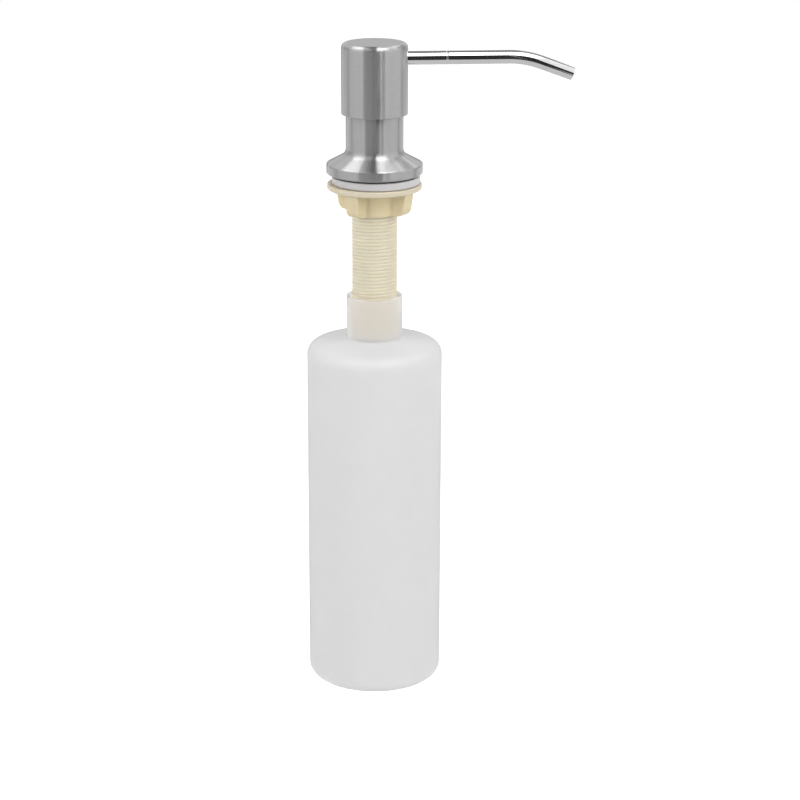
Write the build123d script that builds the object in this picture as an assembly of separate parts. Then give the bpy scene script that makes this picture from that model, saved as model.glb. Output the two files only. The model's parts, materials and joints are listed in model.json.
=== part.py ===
from build123d import *
import math
import os

# Sink-deck soap dispenser. Millimetres, +Z up. Z = 0 is the deck plane, the underside of the deck seal.
# The Z axis is the axis of the pump, and the spout points along +X.

# Clearances, all radial unless they say otherwise
seat_fit = 0.05        # pieces pushed into each other
slide_fit = 0.05       # piston in its bore
turn_fit = 0.1         # stem in the head and in the guide collar
thread_fit = 0.3       # nut and bottle neck round the thread
washer_fit = 0.9       # washer round the thread
ball_gap = 0.15        # a resting ball above the rim of its seat, along Z
stop_gap = 0.3         # a moving piece short of its stop, along Z
o_ring_room = 0.15     # on either side of an O-ring in its groove, along its axis

# Radial build-up, from the pump bore outwards
pump_bore_d = 11.4
housing_wall = 1.1
housing_room = 0.5     # between the pump housing and the shank
shank_wall = 2.2
shank_head_lip = 0.8   # how far the shank's head overhangs its thread
well_room = 0.3        # round what sits in the well of the base
sleeve_wall = 1.4
skirt_gap = 0.6        # between the sleeve and the skirt of the cap
cap_wall = 1.2

# Base, deck seal and washer
seal_show = 0.8        # height of the seal below the foot of the base
seal_groove = 1.0
seal_inset = 1.2       # from the rim in to the seal
seal_width = 4.4
seal_edge = 0.3
foot_inset = 0.4       # chamfer below the rim, radial
foot_rise = 0.4        # the same chamfer along Z
rim_h = 3.7
rim_edge = 1.2
flare_reach = 8.15     # from the sleeve out to the rim
flare_h = 4.4
flare_round = 3.0
sleeve_h = 20.2
sleeve_edge = 0.4
well_depth = 11.5
washer_d = 37.0
washer_h = 3.3
washer_gap = 0.1       # below the seal, along Z
washer_shift = 0.6     # along +X, as it hangs loose on the shank
washer_edge = 0.5

# Nut and shank
nut_gap = 0.1          # between the washer and the nut
nut_flange_d = 39.8
nut_flange_h = 2.3
nut_flange_edge = 0.5
nut_hub_wall = 1.6
nut_hub_h = 10.1
wing_count = 4
wing_turn = -38.0      # direction of the first wing, degrees
wing_t = 6.4
wing_top_r = 17.8
wing_foot_r = 16.2
wing_round = 3.0
shank_head_h = 2.0
shank_chamfer = 0.8

# Bottle
neck_drop = 51.9       # from the deck plane down to the neck's rim
neck_wall = 2.1
neck_h = 18.5
neck_grip = 18.0       # length of thread inside the neck
neck_edge = 0.5
bottle_d = 57.8
bottle_wall = 1.2
bottle_h = 154.4       # from the neck's foot down to the surface it can stand on
shoulder_drop = 3.2
shoulder_round = 5.0
heel_round = 4.5
base_ring = 6.0        # width of the flat ring that it stands on
base_rise = 1.8        # how far the middle of the base is pushed up

# Pump
gasket_h = 0.8
gasket_inset = 0.3
flange_h = 2.0
collar_h = 3.0
collar_spigot = 5.8
collar_notch = 2.0
wiper_wire = 1.3
o_ring_sides = 6
stem_d = 7.0
stem_bore_d = 3.5
piston_h = 7.0
lip_h = 1.2
lip_slope = 0.8
waist_depth = 0.7
vent_d = 1.2
retainer_flange_h = 2.0
retainer_room = 0.7    # between the retainer's flange and the pump bore
nose_room = 0.9        # between its nose and the spring
retainer_nose_h = 2.0
retainer_plug_h = 4.0
retainer_hole_d = 2.0
spring_l = 33.7
spring_room = 1.0      # between the spring and the pump bore
spring_wire = 0.9
spring_coils = 5       # at the open pitch
spring_sides = 6       # of the wire's section
spring_end_gap = 0.5   # between the closed coil at each end and the next one
ball_plate_h = 2.0
ball_plate_holes = 3
ball_plate_hole_d = 1.6
inlet_seat_d = 4.0
inlet_seat_lap = 0.5   # of the ball over its seat
inlet_lift = 2.0
inlet_side_room = 0.7
seat_h = 2.0
tail_wall = 1.4
dip_socket = 7.6
dip_d = 6.0
dip_wall = 0.9
dip_end_gap = 4.0      # above the bottle's inner floor
dip_slant = 45.0       # degrees

# Head
press_travel = 11.5
press_room = 1.0       # left above the base when the head is fully down
skirt_overlap = 3.9    # of the cap's skirt over the sleeve at rest
insert_h = 11.8
insert_plate_h = 2.5
insert_rib_t = 1.5
insert_ribs = 5
hub_wall = 2.9
cap_top = 1.5
cap_top_edge = 2.0
skirt_edge = 0.5
outlet_seat_lap = 0.45 # of the ball over the stem's bore
outlet_side_room = 0.8
chamber_roof = 2.0
spout_drop = 6.6       # from the top of the cap to the spout's centre line
spout_d = 5.8
spout_wall = 0.5
spout_seat = 2.0       # wall between the ball chamber and the spout's root
spout_socket_wall = 2.0
spout_straight = 55.5  # from the pump axis to the start of the bend
spout_bend_r = 40.0
spout_bend = 20.0      # degrees
spout_nose = 14.2      # straight end past the bend
spout_seal_wire = 1.2
seat_step = 0.85       # from the stem's top to the spout's bore, along Z

# Radii that follow
pump_bore_r = pump_bore_d / 2
housing_r = pump_bore_r + housing_wall
shank_bore_r = housing_r + housing_room
shank_r = shank_bore_r + shank_wall
shank_head_r = shank_r + shank_head_lip
well_r = shank_head_r + well_room
flange_r = well_r - well_room
sleeve_r = well_r + sleeve_wall
cap_bore_r = sleeve_r + skirt_gap
cap_r = cap_bore_r + cap_wall
rim_r = sleeve_r + flare_reach
seal_r = rim_r - seal_inset
seal_bore_r = seal_r - seal_width
thread_bore_r = shank_r + thread_fit
nut_hub_r = thread_bore_r + nut_hub_wall
neck_r = thread_bore_r + neck_wall
bottle_r = bottle_d / 2
stem_r = stem_d / 2
stem_bore_r = stem_bore_d / 2
piston_r = pump_bore_r - slide_fit
retainer_r = pump_bore_r - retainer_room
coil_r = pump_bore_r - spring_room - spring_wire / 2
nose_r = coil_r - spring_wire / 2 - nose_room
spout_r = spout_d / 2
spout_bore_r = spout_r - spout_wall
outlet_ball_r = stem_bore_r + outlet_seat_lap
chamber_r = outlet_ball_r + outlet_side_room
hub_r = stem_r + turn_fit + hub_wall
insert_r = cap_bore_r - seat_fit
inlet_seat_r = inlet_seat_d / 2
inlet_ball_r = inlet_seat_r + inlet_seat_lap
ball_room_r = inlet_ball_r + inlet_side_room
dip_r = dip_d / 2
dip_socket_r = dip_r + seat_fit
tail_r = dip_socket_r + tail_wall

# Heights of the base, from the deck up
foot_z = seal_show
rim_foot_z = foot_z + foot_rise
rim_top_z = rim_foot_z + rim_h
flare_top_z = rim_top_z + flare_h
sleeve_top_z = flare_top_z + sleeve_h
well_floor_z = sleeve_top_z - well_depth
shank_top_z = well_floor_z + shank_head_h

# Heights of the fastening and the bottle, from the deck down
washer_top_z = -washer_gap
washer_foot_z = washer_top_z - washer_h
nut_top_z = washer_foot_z - nut_gap
nut_flange_foot_z = nut_top_z - nut_flange_h
nut_foot_z = nut_flange_foot_z - nut_hub_h
neck_top_z = -neck_drop
neck_foot_z = neck_top_z - neck_h
shank_foot_z = neck_top_z - neck_grip
shoulder_z = neck_foot_z - shoulder_drop
base_z = neck_foot_z - bottle_h
floor_z = base_z + bottle_wall

# Heights of the pump, from the shank's head up and then down through the housing
gasket_top_z = shank_top_z + gasket_h
housing_top_z = gasket_top_z + flange_h
collar_top_z = housing_top_z + collar_h
collar_foot_z = housing_top_z - collar_spigot
piston_top_z = collar_foot_z - stop_gap
piston_foot_z = piston_top_z - piston_h
retainer_foot_z = piston_foot_z - retainer_flange_h
spring_foot_z = retainer_foot_z - spring_l
ball_step_z = spring_foot_z - ball_plate_h
inlet_rise = math.sqrt(inlet_ball_r**2 - inlet_seat_r**2) + ball_gap
valve_floor_z = ball_step_z - stop_gap - inlet_lift - inlet_ball_r - inlet_rise
inlet_ball_z = valve_floor_z + inlet_rise
dip_top_z = valve_floor_z - seat_h
tail_foot_z = dip_top_z - dip_socket
dip_foot_z = floor_z + base_rise + dip_end_gap

# Heights of the head
insert_foot_z = sleeve_top_z + press_travel + press_room
hub_foot_z = collar_top_z + press_travel + press_room
insert_top_z = insert_foot_z + insert_h
cap_top_z = insert_top_z + cap_top
skirt_foot_z = sleeve_top_z - skirt_overlap
spout_z = cap_top_z - spout_drop
stem_top_z = spout_z - spout_bore_r - seat_step
outlet_ball_z = stem_top_z + math.sqrt(outlet_ball_r**2 - stem_bore_r**2) + ball_gap
spout_root_x = chamber_r + spout_seat
spout_seal_x = (spout_root_x + insert_r) / 2


def turned(outline, rounds=()):
    """Spin a closed outline of (radius, height) points about Z. rounds holds (corner, radius) pairs."""
    face = make_face(Polyline(*outline, close=True))
    for corner, radius in rounds:
        face = fillet(face.vertices().sort_by_distance(corner)[0], radius)
    return revolve(Plane.XZ * face, Axis.Z)


def ring(inner_r, outer_r, low_z, high_z, edge=0):
    """Flat ring, with both of its outer edges broken where edge is given."""
    low, high = [(outer_r, low_z)], [(outer_r, high_z)]
    if edge:
        low = [(outer_r - edge, low_z), (outer_r, low_z + edge)]
        high = [(outer_r, high_z - edge), (outer_r - edge, high_z)]
    return turned([(inner_r, low_z), *low, *high, (inner_r, high_z)])


def o_ring(inner_r, wire):
    """Ring of a wire that is a polygon with flats against the bore, about Z at height 0."""
    flat_turn = 180 / o_ring_sides
    wire_face = RegularPolygon(wire / 2, o_ring_sides, major_radius=False, rotation=flat_turn)
    return revolve(Plane.XZ * Pos(inner_r + wire / 2, 0) * wire_face, Axis.Z)


def rod_along_x(radius, start_x, end_x, z):
    """Round rod along +X at a height."""
    rod = Cylinder(radius, end_x - start_x, align=(Align.CENTER, Align.CENTER, Align.MIN))
    return Pos(start_x, 0, z) * Rot(0, 90, 0) * rod


def turned_copies(solid, count, start=0.0):
    """A piece repeated evenly about Z, the first turned by start degrees."""
    return [Rot(0, 0, start + 360 / count * i) * solid for i in range(count)]


# Above the deck

def head_cap():
    """Steel cup, with a rounded top edge and a hole in its side for the spout."""
    top_corner = (cap_r, cap_top_z)
    cup = turned(
        [(0, cap_top_z), top_corner, (cap_r, skirt_foot_z + skirt_edge), (cap_r - skirt_edge, skirt_foot_z),
         (cap_bore_r, skirt_foot_z), (cap_bore_r, insert_top_z), (0, insert_top_z)],
        [(top_corner, cap_top_edge)],
    )
    return cup - rod_along_x(spout_r + seat_fit, 0, cap_r + cap_wall, spout_z)


def head_insert():
    """Moulded core of the head: hub on the stem, top plate, ribs, and a boss for the spout."""
    hub = ring(0, hub_r, hub_foot_z, insert_top_z)
    plate = ring(0, insert_r, insert_top_z - insert_plate_h, insert_top_z)
    rib = Pos(insert_r / 2, 0, (insert_foot_z + insert_top_z) / 2) * Box(insert_r, insert_rib_t, insert_h)
    boss = rod_along_x(spout_r + spout_socket_wall, 0, cap_r, spout_z)
    spread = 360 / (insert_ribs + 1)
    ribs = [Rot(0, 0, spread * (i + 1)) * rib for i in range(insert_ribs)]
    limit = ring(0, insert_r, hub_foot_z, insert_top_z)
    core = (hub + plate + boss + ribs) & limit
    core -= ring(0, stem_r + turn_fit, hub_foot_z, stem_top_z + turn_fit)
    core -= ring(0, chamber_r, stem_top_z, insert_top_z - chamber_roof)
    core -= rod_along_x(spout_bore_r, 0, insert_r, spout_z)
    core -= rod_along_x(spout_r + seat_fit, spout_root_x, cap_r, spout_z)
    groove_r = spout_r + seat_fit + spout_seal_wire + seat_fit
    half_groove = spout_seal_wire / 2 + o_ring_room
    core -= rod_along_x(groove_r, spout_seal_x - half_groove, spout_seal_x + half_groove, spout_z)
    return core


def spout_seal():
    """O-ring round the root of the spout."""
    return Pos(spout_seal_x, 0, spout_z) * Rot(0, 90, 0) * o_ring(spout_r + seat_fit, spout_seal_wire)


def spout_tube():
    """Thin tube, straight out of the cap and then bent down, with a square end."""
    straight = Line((spout_root_x, spout_z), (spout_straight, spout_z))
    bend = JernArc(straight @ 1, straight % 1, spout_bend_r, -spout_bend)
    nose = Line(bend @ 1, (bend @ 1) + (bend % 1) * spout_nose)
    path = Plane.XZ * (straight + bend + nose)
    start = Plane(origin=(spout_root_x, 0, spout_z), z_dir=(1, 0, 0))
    return sweep(start * Circle(spout_r), path) - sweep(start * Circle(spout_bore_r), path)


def base_flange():
    """Steel sleeve that flares into a foot with an upright rim, and a groove below for the seal."""
    bore_r = shank_r + seat_fit
    groove_z = foot_z + seal_groove
    rim_corner, flare_corner = (rim_r, rim_top_z), (sleeve_r, flare_top_z)
    return turned(
        [(bore_r, foot_z), (seal_bore_r, foot_z), (seal_bore_r, groove_z), (seal_r, groove_z),
         (seal_r, foot_z), (rim_r - foot_inset, foot_z), (rim_r, rim_foot_z), rim_corner, flare_corner,
         (sleeve_r, sleeve_top_z - sleeve_edge), (sleeve_r - sleeve_edge, sleeve_top_z),
         (well_r, sleeve_top_z), (well_r, well_floor_z), (bore_r, well_floor_z)],
        [(rim_corner, rim_edge), (flare_corner, flare_round)],
    )


def deck_gasket():
    """Black seal, held in the groove of the base and standing proud of it."""
    inner_r, outer_r, top_z = seal_bore_r + seat_fit, seal_r - seat_fit, foot_z + seal_groove
    return turned(
        [(inner_r, 0), (outer_r - seal_edge, 0), (outer_r, seal_edge), (outer_r, top_z), (inner_r, top_z)],
    )


# Below the deck

def threaded_shank():
    """Plastic tube at the thread's outer size, with a head that hangs in the well of the base."""
    return turned(
        [(shank_bore_r, shank_foot_z), (shank_r - shank_chamfer, shank_foot_z),
         (shank_r, shank_foot_z + shank_chamfer), (shank_r, well_floor_z), (shank_head_r, well_floor_z),
         (shank_head_r, shank_top_z), (shank_bore_r, shank_top_z)],
    )


def clamp_washer():
    """White ring that bears on the underside of the deck, loose on the shank and so a little to one side."""
    bore_r = shank_r + washer_fit
    return Pos(washer_shift, 0, 0) * ring(bore_r, washer_d / 2, washer_foot_z, washer_top_z, washer_edge)


def mounting_nut():
    """Round flange on a hub, with wings whose outer edges draw in towards the foot."""
    flange = ring(thread_bore_r, nut_flange_d / 2, nut_flange_foot_z, nut_top_z, nut_flange_edge)
    hub = ring(thread_bore_r, nut_hub_r, nut_foot_z, nut_flange_foot_z)
    foot_corner = (wing_foot_r, nut_foot_z)
    root_r = (thread_bore_r + nut_hub_r) / 2
    side = make_face(Polyline(
        (root_r, nut_foot_z), foot_corner, (wing_top_r, nut_flange_foot_z), (root_r, nut_flange_foot_z),
        close=True,
    ))
    side = fillet(side.vertices().sort_by_distance(foot_corner)[0], wing_round)
    wing = extrude(Plane.XZ * side, wing_t / 2, both=True)
    return flange + hub + turned_copies(wing, wing_count, wing_turn)


def bottle():
    """Blown bottle: plain neck, sloped shoulder, straight sides and a pushed-up base."""
    neck_corner, shoulder_corner, heel = (neck_r, neck_foot_z), (bottle_r, shoulder_z), (bottle_r, base_z)
    ring_r = bottle_r - heel_round - base_ring
    body = turned(
        [(0, base_z + base_rise), (ring_r, base_z), heel, shoulder_corner, neck_corner,
         (neck_r, neck_top_z - neck_edge), (neck_r - neck_edge, neck_top_z), (0, neck_top_z)],
        [(shoulder_corner, shoulder_round), (heel, heel_round)],
    )
    side_r, roof_z = bottle_r - bottle_wall, shoulder_z - bottle_wall
    inner_shoulder, inner_heel = (side_r, roof_z), (side_r, floor_z)
    space = turned(
        [(0, floor_z + base_rise), (ring_r, floor_z), inner_heel, inner_shoulder,
         (thread_bore_r, neck_foot_z - bottle_wall), (thread_bore_r, neck_top_z), (0, neck_top_z)],
        [(inner_shoulder, shoulder_round - bottle_wall), (inner_heel, heel_round - bottle_wall)],
    )
    return body - space


# Inside the pump

def pump_housing():
    """Cylinder hung from its flange, with a step for the ball plate, a ball seat and a tail."""
    tube = turned(
        [(dip_socket_r, tail_foot_z), (tail_r, tail_foot_z), (tail_r, valve_floor_z),
         (housing_r, ball_step_z), (housing_r, gasket_top_z), (flange_r, gasket_top_z),
         (flange_r, housing_top_z), (pump_bore_r, housing_top_z), (pump_bore_r, ball_step_z),
         (ball_room_r, ball_step_z),
         (ball_room_r, valve_floor_z), (inlet_seat_r, valve_floor_z), (inlet_seat_r, dip_top_z),
         (dip_socket_r, dip_top_z)],
    )
    return tube - rod_along_x(vent_d / 2, 0, housing_r + housing_wall, (piston_top_z + piston_foot_z) / 2)


def housing_gasket():
    """Flat ring under the housing's flange."""
    return ring(shank_bore_r + gasket_inset, flange_r - gasket_inset, shank_top_z, gasket_top_z)


def guide_collar():
    """Bush in the top of the housing, with a groove for the wiper and two notches for a spanner."""
    bore_r = stem_r + turn_fit
    spigot_r = pump_bore_r - seat_fit
    groove_r = stem_r + seat_fit + wiper_wire + seat_fit
    half_groove = wiper_wire / 2 + o_ring_room
    groove_low, groove_high = housing_top_z - half_groove, housing_top_z + half_groove
    bush = turned(
        [(bore_r, collar_foot_z), (spigot_r, collar_foot_z), (spigot_r, housing_top_z),
         (flange_r, housing_top_z), (flange_r, collar_top_z), (bore_r, collar_top_z),
         (bore_r, groove_high), (groove_r, groove_high), (groove_r, groove_low), (bore_r, groove_low)],
    )
    notch = Pos(flange_r, 0, collar_top_z) * Box(2 * collar_notch, collar_notch, collar_h)
    return bush - turned_copies(notch, 2)


def stem_wiper():
    """O-ring in the collar's groove."""
    return Pos(0, 0, housing_top_z) * o_ring(stem_r + seat_fit, wiper_wire)


def pump_stem():
    """Hollow stem, whose upper rim is the seat of the outlet ball."""
    return ring(stem_bore_r, stem_r, piston_foot_z, stem_top_z)


def outlet_ball():
    return Pos(0, 0, outlet_ball_z) * Sphere(outlet_ball_r)


def piston():
    """Seal with a lip at each end and a waist between them."""
    bore_r = stem_r + seat_fit
    waist_r = piston_r - waist_depth
    low_lip, high_lip = piston_foot_z + lip_h, piston_top_z - lip_h
    return turned(
        [(bore_r, piston_foot_z), (piston_r, piston_foot_z), (piston_r, low_lip),
         (waist_r, low_lip + lip_slope), (waist_r, high_lip - lip_slope), (piston_r, high_lip),
         (piston_r, piston_top_z), (bore_r, piston_top_z)],
    )


def piston_retainer():
    """Plug in the foot of the stem: a flange under the piston and a nose inside the spring."""
    hole_r = retainer_hole_d / 2
    plug_r = stem_bore_r - seat_fit
    nose_foot_z, plug_top_z = retainer_foot_z - retainer_nose_h, piston_foot_z + retainer_plug_h
    return turned(
        [(hole_r, nose_foot_z), (nose_r, nose_foot_z), (nose_r, retainer_foot_z),
         (retainer_r, retainer_foot_z), (retainer_r, piston_foot_z), (plug_r, piston_foot_z),
         (plug_r, plug_top_z), (hole_r, plug_top_z)],
    )


def ball_retainer():
    """Holed disc over the inlet ball, on the housing's step."""
    disc = ring(0, pump_bore_r - seat_fit, ball_step_z, spring_foot_z)
    hole_r = ball_plate_hole_d / 2
    hole = Pos(ball_room_r - 2 * hole_r, 0, 0) * ring(0, hole_r, ball_step_z, spring_foot_z)
    return disc - turned_copies(hole, ball_plate_holes)


def inlet_ball():
    return Pos(0, 0, inlet_ball_z) * Sphere(inlet_ball_r)


def dip_tube():
    """Tube from the housing's tail to just above the bottle's floor, its foot cut slanted."""
    tube = ring(dip_r - dip_wall, dip_r, dip_foot_z, dip_top_z)
    cut = Plane(origin=(-dip_r, 0, dip_foot_z)).rotated((0, -dip_slant, 0))
    return split(tube, cut, keep=Keep.TOP)


# Spring: a helix with one closed coil at each end, followed by a pair of tangent arcs in each half turn

closed_pitch = spring_wire + spring_end_gap
open_pitch = (spring_l - spring_wire - 2 * closed_pitch) / spring_coils
spring_turns = spring_coils + 2


def coil_height(turn):
    """Height of the wire's centre after so many turns from the foot."""
    opened = min(max(turn - 1, 0), spring_coils)
    return spring_foot_z + spring_wire / 2 + closed_pitch * (turn - opened) + open_pitch * opened


def coil_point(turn):
    angle = 2 * math.pi * turn
    return Vector(coil_r * math.cos(angle), coil_r * math.sin(angle), coil_height(turn))


def coil_tangent(turn):
    """Direction of the wire, with the slope averaged over a quarter turn."""
    step = 0.125
    low, high = max(turn - step, 0), min(turn + step, spring_turns)
    climb = (coil_height(high) - coil_height(low)) / (high - low) / (2 * math.pi)
    angle = 2 * math.pi * turn
    return Vector(-coil_r * math.sin(angle), coil_r * math.cos(angle), climb).normalized()


def arc_pair(start, start_way, end, end_way):
    """Two arcs that join two points along given directions and meet with one tangent, each reach long."""
    chord, ways = end - start, start_way + end_way
    spread = 2 * (1 - start_way.dot(end_way))
    along = chord.dot(ways)
    reach = (math.sqrt(along**2 + spread * chord.dot(chord)) - along) / spread
    middle = (start + end + (start_way - end_way) * reach) / 2
    middle_way = (end - start - (start_way + end_way) * reach).normalized()
    return [Edge.make_tangent_arc(start, start_way, middle), Edge.make_tangent_arc(middle, middle_way, end)]


def return_spring():
    """One wire swept along the arcs. Prints the least gap between neighbouring coils."""
    marks = [i / 2 for i in range(2 * spring_turns + 1)]
    arcs = []
    for start, end in zip(marks, marks[1:]):
        arcs += arc_pair(coil_point(start), coil_tangent(start), coil_point(end), coil_tangent(end))
    fine = [i / 24 for i in range(24 * spring_turns + 1)]
    least = min(
        (coil_point(a) - coil_point(b)).length for a in fine for b in fine if 0.5 < b - a < 1.5
    )
    print(f"return_spring: least gap to itself {least - spring_wire:.2f} mm")
    start = Plane(origin=coil_point(0), z_dir=coil_tangent(0))
    return sweep(start * RegularPolygon(spring_wire / 2, spring_sides), Wire(arcs))


pieces = [
    head_cap, head_insert, spout_seal, spout_tube, base_flange, deck_gasket, threaded_shank, clamp_washer,
    mounting_nut, bottle, pump_housing, housing_gasket, guide_collar, stem_wiper, pump_stem, outlet_ball,
    piston, piston_retainer, return_spring, ball_retainer, inlet_ball, dip_tube,
]

os.makedirs("parts", exist_ok=True)
for piece in pieces:
    solid = piece()
    export_step(solid, f"parts/{piece.__name__}.step")
    print(f"{piece.__name__}: {solid.volume:.1f} mm3")
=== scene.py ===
# %% [markdown]
# # Sink-deck soap dispenser
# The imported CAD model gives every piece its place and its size. This lesson dresses it: smooth surfaces with
# rounded edges for what shows, a real thread, a wound spring, and finishes for steel, plastic and rubber.
# Lengths are in metres, +Z is up, Z = 0 is the deck and the spout points along +X.

# %% Load the frame
import json
import math

import bmesh
import bpy
import numpy as np
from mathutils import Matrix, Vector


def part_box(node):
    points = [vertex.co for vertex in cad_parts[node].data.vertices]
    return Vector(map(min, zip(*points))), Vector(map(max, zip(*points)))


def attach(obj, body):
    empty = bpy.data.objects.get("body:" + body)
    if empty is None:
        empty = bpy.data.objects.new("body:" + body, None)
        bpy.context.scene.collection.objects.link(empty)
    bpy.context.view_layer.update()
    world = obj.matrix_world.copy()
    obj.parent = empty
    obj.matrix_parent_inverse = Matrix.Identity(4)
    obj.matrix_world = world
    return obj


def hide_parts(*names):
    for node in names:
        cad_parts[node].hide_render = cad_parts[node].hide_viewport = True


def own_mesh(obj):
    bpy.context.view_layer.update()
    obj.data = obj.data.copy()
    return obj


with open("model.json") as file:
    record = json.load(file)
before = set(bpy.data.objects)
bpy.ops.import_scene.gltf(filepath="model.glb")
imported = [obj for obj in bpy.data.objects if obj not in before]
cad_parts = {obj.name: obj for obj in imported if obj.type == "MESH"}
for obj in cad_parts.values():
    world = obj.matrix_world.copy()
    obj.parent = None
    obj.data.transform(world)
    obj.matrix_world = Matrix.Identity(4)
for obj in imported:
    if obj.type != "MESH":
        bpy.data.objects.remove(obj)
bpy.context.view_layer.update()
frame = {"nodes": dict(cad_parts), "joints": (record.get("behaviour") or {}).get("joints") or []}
MM = 0.001

# %% [markdown]
# ## Camera
# The photograph was taken with a long lens from a little above. The lens, the distance and the tilt were found by
# laying the CAD outline over the photograph. Turning the camera could also put the pump axis left of the middle,
# but then the bottle would lean, so a small sideways shift of the lens does it.

# %% Camera
CAMERA_DISTANCE = 0.954
CAMERA_AZIMUTH = math.radians(-4.0)
CAMERA_HEIGHT = 0.2036
CAMERA_TILT = math.radians(17.6)
LENS_MM, SENSOR_MM = 104.4, 36.0
AXIS_SHIFT = 0.0318

camera_data = bpy.data.cameras.new("camera")
camera_data.lens = LENS_MM
camera_data.sensor_width = SENSOR_MM
camera_data.shift_x = AXIS_SHIFT
camera_data.clip_start = 0.05
camera = bpy.data.objects.new("camera", camera_data)
camera.location = (
    CAMERA_DISTANCE * math.sin(CAMERA_AZIMUTH), -CAMERA_DISTANCE * math.cos(CAMERA_AZIMUTH), CAMERA_HEIGHT,
)
camera.rotation_euler = (math.pi / 2 - CAMERA_TILT, 0, CAMERA_AZIMUTH)
bpy.context.scene.collection.objects.link(camera)
bpy.context.scene.camera = camera
print("camera at", [round(x, 3) for x in camera.location])

# %% [markdown]
# ## Grids of points
# Nearly every piece here is a grid: one number counts along an outline, the other round an axis or along a path.
# Blender's Screw and Bevel modifiers could make such shapes too, but a grid keeps every point in hand. Three helpers
# are enough. One numbers the grid's faces, one rounds the corners of an outline, and one carries an outline round
# the Z axis. A rounded corner gets a guard point on either side, so that smooth shading bends only at the corner
# and leaves the long faces flat.

# %% Grid helpers
AROUND = 160


def grid_faces(rows, columns, close_rows=True):
    """Corner numbers of the quads of a grid that is closed round its columns, and round its rows if asked."""
    number = np.arange(rows * columns).reshape(rows, columns)
    number = np.hstack([number, number[:, :1]])
    if close_rows:
        number = np.vstack([number, number[:1]])
    corners = [number[:-1, :-1], number[:-1, 1:], number[1:, 1:], number[1:, :-1]]
    return np.stack(corners, axis=-1).reshape(-1, 4)


def rounded(corners, steps=7, guard=0.35):
    """Closed outline through (x, y, radius) corners. Each corner becomes an arc that touches both of its sides:
    it starts radius / tan(half the corner's angle) before the corner. Guard points lie a share of that further out,
    so a corner gives steps + 2 points."""
    corners = np.array(corners, float)
    here, radius = corners[:, :2], corners[:, 2:]
    back, ahead = np.roll(here, 1, axis=0) - here, np.roll(here, -1, axis=0) - here
    back /= np.linalg.norm(back, axis=1, keepdims=True)
    ahead /= np.linalg.norm(ahead, axis=1, keepdims=True)
    half = np.arccos(np.clip((back * ahead).sum(1, keepdims=True), -1, 1)) / 2
    reach = radius / np.tan(half)
    middle = back + ahead
    middle /= np.maximum(np.linalg.norm(middle, axis=1, keepdims=True), 1e-12)
    centre = here + middle * radius / np.sin(half)
    first, last = here + back * reach - centre, here + ahead * reach - centre
    start = np.arctan2(first[:, 1:], first[:, :1])
    sweep = np.arctan2(last[:, 1:], last[:, :1]) - start
    sweep = (sweep + np.pi) % (2 * np.pi) - np.pi
    angle = start + sweep * np.linspace(0, 1, steps)
    arc = centre[:, None] + radius[:, None] * np.stack([np.cos(angle), np.sin(angle)], axis=-1)
    before = here + back * reach * (1 + guard)
    after = here + ahead * reach * (1 + guard)
    return np.concatenate([before[:, None], arc, after[:, None]], axis=1).reshape(-1, 2)


def spun(outline, around=AROUND, axis_x=0.0):
    """Points of an outline of (radius, height) carried round an upright axis: x = axis_x + r cos a, y = r sin a,
    z = height."""
    turn = np.arange(around) * 2 * np.pi / around
    radius, height = outline[:, :1], outline[:, 1:]
    return np.stack([axis_x + radius * np.cos(turn), radius * np.sin(turn), height + 0 * turn], axis=-1)


# %% [markdown]
# ## From points to a piece
# Where an outline ends on the axis a whole row of points lies in one place, and where two grids meet their borders
# lie on one another. Leaving such points doubled would be quicker, but then the mesh is open there and shades with a
# line. So they are merged, and the faces are turned outwards. Each piece then rides on the body that carries it, and
# replaces the plain CAD shape.

# %% From points to a piece
MERGE = 1e-6
SHARP = math.radians(38)


def add_piece(name, grids, body, finish, replaced=()):
    """Joins (points, faces) grids into one closed mesh, and makes it a piece that rides on a body."""
    points = [np.asarray(p, float).reshape(-1, 3) for p, _ in grids]
    starts = np.cumsum([0] + [len(p) for p in points[:-1]])
    faces = np.vstack([f + s for (_, f), s in zip(grids, starts)])
    mesh = bpy.data.meshes.new(name)
    mesh.from_pydata(np.vstack(points).tolist(), [], faces.tolist())
    shape = bmesh.new()
    shape.from_mesh(mesh)
    bmesh.ops.remove_doubles(shape, verts=shape.verts, dist=MERGE)
    bmesh.ops.recalc_face_normals(shape, faces=shape.faces)
    open_edges = sum(edge.is_boundary for edge in shape.edges)
    shape.to_mesh(mesh)
    shape.free()
    mesh.shade_smooth()
    mesh.set_sharp_from_angle(angle=SHARP)
    mesh.materials.append(finish)
    piece = bpy.data.objects.new(name, mesh)
    bpy.context.scene.collection.objects.link(piece)
    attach(piece, body)
    if replaced:
        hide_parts(*replaced)
    size = [round(side / MM, 1) for side in piece.dimensions]
    print(f"{name}: {len(mesh.polygons)} faces, {open_edges} open edges, {size} mm")
    return piece


def add_spun(name, corners, body, finish, replaced=(), axis_x=0.0):
    """A piece that is one rounded outline carried round an upright axis."""
    points = spun(rounded(corners), axis_x=axis_x)
    return add_piece(name, [(points, grid_faces(*points.shape[:2]))], body, finish, replaced)


def finish_above(piece, finish, height):
    """Gives the faces whose middle lies above a height a second finish."""
    faces = piece.data.polygons
    middle = np.empty(3 * len(faces), np.float32)
    faces.foreach_get("center", middle)
    above = middle[2::3] > height
    piece.data.materials.append(finish)
    faces.foreach_set("material_index", above.astype(np.int32))
    print(f"{finish.name}: {above.sum()} faces of {piece.name}")


# %% [markdown]
# ## Finishes
# Every finish is a Principled shader fed by noise in Object coordinates. Picture files could do it too, but they
# would have to be drawn, unwrapped and kept beside the script. A few helpers add nodes and links, and each finish
# then says only what makes it special.

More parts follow.
